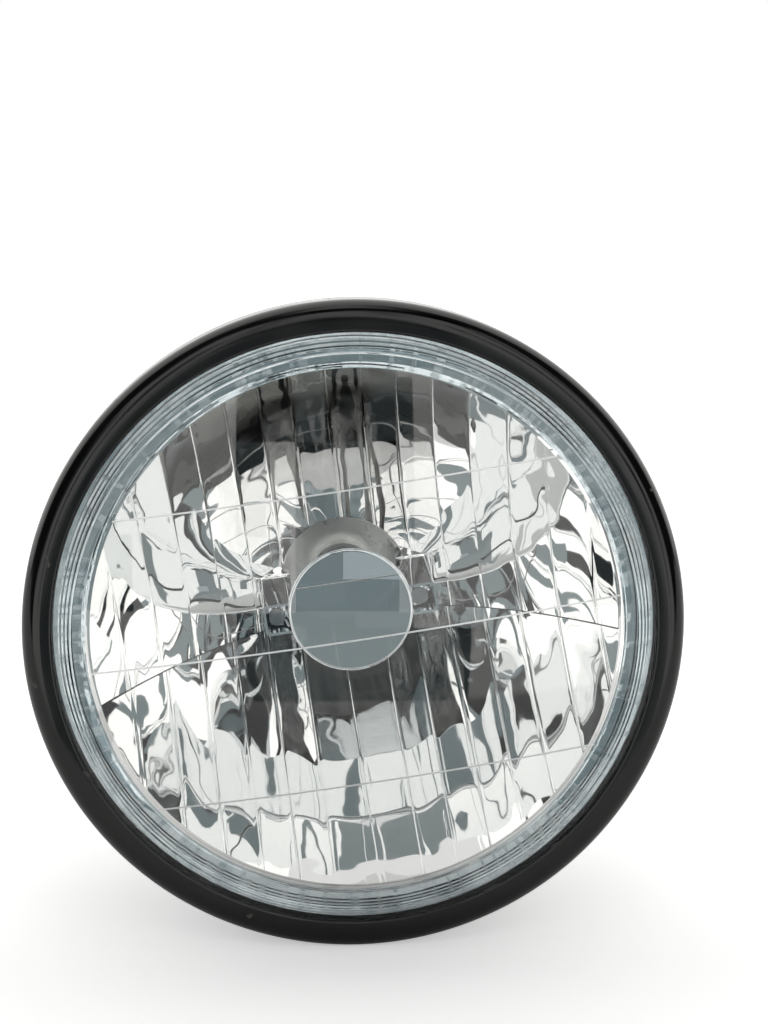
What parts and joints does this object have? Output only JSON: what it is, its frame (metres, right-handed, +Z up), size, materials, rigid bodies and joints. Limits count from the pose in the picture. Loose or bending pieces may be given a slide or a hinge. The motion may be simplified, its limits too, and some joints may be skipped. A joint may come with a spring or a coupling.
{
  "type": "motorcycle headlight",
  "caption": "Round motorcycle headlight with domed glass, fluted reflector, bulb shield, black trim ring and side-mounted steel shell.",
  "frame": {"origin": "on the optical axis, level with the two side mounts and midway between the crown of the glass and the back of the cable grommet", "axes": "+Y along the optical axis towards the back, the glass faces -Y, +Z up, +X to the right of someone facing the lamp"},
  "size_m": [0.19, 0.15, 0.19],
  "materials": {
    "black_rim": "gloss black enamel",
    "black_shell": "satin black enamel",
    "clear_glass": "clear pressed glass",
    "aluminised": "vacuum aluminised and lacquered",
    "shield_steel": "satin coated sheet",
    "plated_steel": "zinc plated",
    "spring_steel": "drawn spring wire",
    "bulb_metal": "nickel plated",
    "wire": "drawn wire",
    "terminal_brass": "tinned brass",
    "insulator": "moulded phenolic",
    "clear_silicone": "clear silicone",
    "seal_rubber": "moulded rubber",
    "boot_rubber": "moulded rubber"
  },
  "bodies": {
    "root": {"trim_ring": "black_rim", "lens": "clear_glass", "lens_seal": "clear_silicone", "reflector": "aluminised", "bulb_shield": "shield_steel", "shield_rivets": "plated_steel", "bulb_glass": "clear_glass", "bulb_filaments": "wire", "bulb_base": "bulb_metal", "bulb_insulator": "insulator", "bulb_terminals": "terminal_brass", "bulb_seat": "plated_steel", "seat_rivets": "plated_steel", "bulb_clip": "spring_steel", "dust_boot": "boot_rubber", "retaining_ring": "plated_steel", "retainer_lugs": "plated_steel", "retainer_screws": "plated_steel", "rim_seal": "seal_rubber", "shell": "black_shell", "rim_strap_left": "plated_steel", "rim_strap_right": "plated_steel", "rim_hook": "plated_steel", "strap_nuts": "plated_steel", "rim_screws": "plated_steel", "rim_washers": "plated_steel", "mount_nut_left": "plated_steel", "mount_nut_right": "plated_steel", "cable_grommet": "boot_rubber"}
  },
  "joints": []
}
